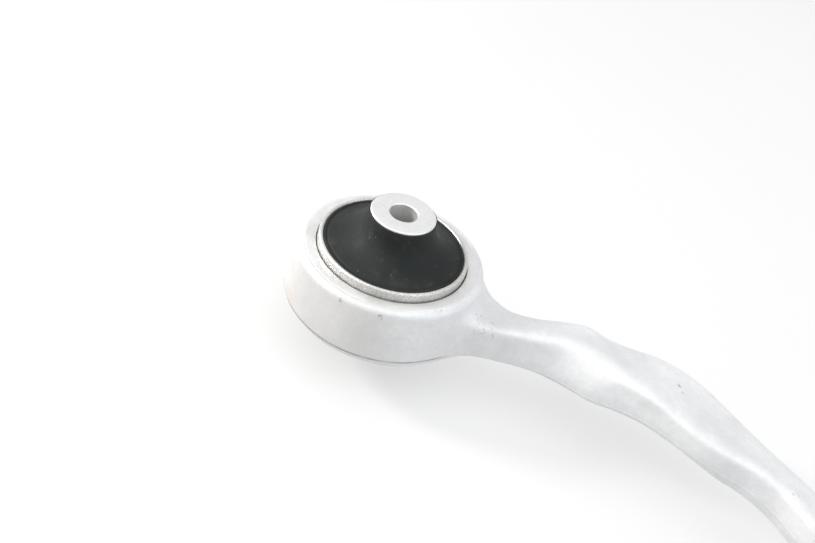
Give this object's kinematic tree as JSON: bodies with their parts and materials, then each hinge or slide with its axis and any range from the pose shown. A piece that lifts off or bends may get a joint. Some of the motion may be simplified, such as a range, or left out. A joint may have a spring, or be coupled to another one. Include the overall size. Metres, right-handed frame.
{
  "type": "control arm",
  "caption": "Forged front lower control arm: a large hydraulic bush in a ring head, a slim curved bar and a sealed ball joint with a tapered stud.",
  "frame": {"origin": "centre of the bush on its bolt axis, at the middle of its height", "axes": "+Z along the bush's bolt axis, towards the side the stud points to; +X from the bush to the ball joint, square to Z"},
  "size_m": [0.3865, 0.0989, 0.095],
  "materials": {
    "forged_aluminium": "shot blasted, satin",
    "drawn_aluminium": "satin",
    "turned_aluminium": "fine turned",
    "bush_rubber": "matte",
    "glass_filled_nylon": "moulded",
    "channel_plastic": "moulded",
    "stop_plastic": "moulded",
    "ground_steel": "ground and polished",
    "acetal": "natural",
    "pressed_steel": "pressed",
    "plated_steel": "zinc plated",
    "forged_steel": "turned",
    "zinc_flake_steel": "zinc flake coated",
    "nylon_insert": "moulded",
    "boot_rubber": "semi matte",
    "spring_steel": "bright wire",
    "seal_plastic": "moulded"
  },
  "bodies": {
    "arm": {"arm_forging": "forged_aluminium", "bush_outer_sleeve": "drawn_aluminium", "bush_cage": "glass_filled_nylon", "channel_ring_half_a": "channel_plastic", "channel_ring_half_b": "channel_plastic", "bearing_seat": "acetal", "seat_support_ring": "pressed_steel", "closure_cap": "plated_steel", "dust_boot": "boot_rubber", "boot_lower_ring": "spring_steel"},
    "bush_core": {"bush_rubber": "bush_rubber"},
    "bush_stop": {"bush_travel_stop": "stop_plastic"},
    "bush_pin": {"bush_inner_sleeve": "turned_aluminium"},
    "ball": {"stud_ball": "ground_steel"},
    "boot_collar": {"boot_upper_ring": "spring_steel", "stud_seal_ring": "seal_plastic"},
    "stud": {"ball_stud": "forged_steel", "lock_nut": "zinc_flake_steel", "nut_nylon_ring": "nylon_insert"}
  },
  "joints": [
    {"name": "bush_give", "type": "slide", "parent": "arm", "child": "bush_core", "axis": [1, 0, 0], "range_m": [-0.003, 0.003], "stiffness_N_per_m": 20000, "deforming": ["bush_rubber"]},
    {"name": "bush_cant", "type": "hinge", "parent": "bush_core", "child": "bush_stop", "pos_m": [0, 0, 0], "axis": [0, 1, 0], "range_deg": [-8, 8], "stiffness_Nm_per_rad": 40},
    {"name": "bush_twist", "type": "hinge", "parent": "bush_stop", "child": "bush_pin", "pos_m": [0, 0, 0], "axis": [0, 0, 1], "range_deg": [-18, 18], "stiffness_Nm_per_rad": 10},
    {"name": "stud_tilt_x", "type": "hinge", "parent": "arm", "child": "ball", "pos_m": [0.32, 0, -0.017], "axis": [1, 0, 0], "range_deg": [-18, 18], "deforming": ["dust_boot"]},
    {"name": "stud_tilt_y", "type": "hinge", "parent": "ball", "child": "boot_collar", "pos_m": [0.32, 0, -0.017], "axis": [0, 1, 0], "range_deg": [-18, 18]},
    {"name": "stud_spin", "type": "hinge", "parent": "boot_collar", "child": "stud", "pos_m": [0.32, 0, -0.017], "axis": [0, 0, 1], "continuous": true}
  ]
}
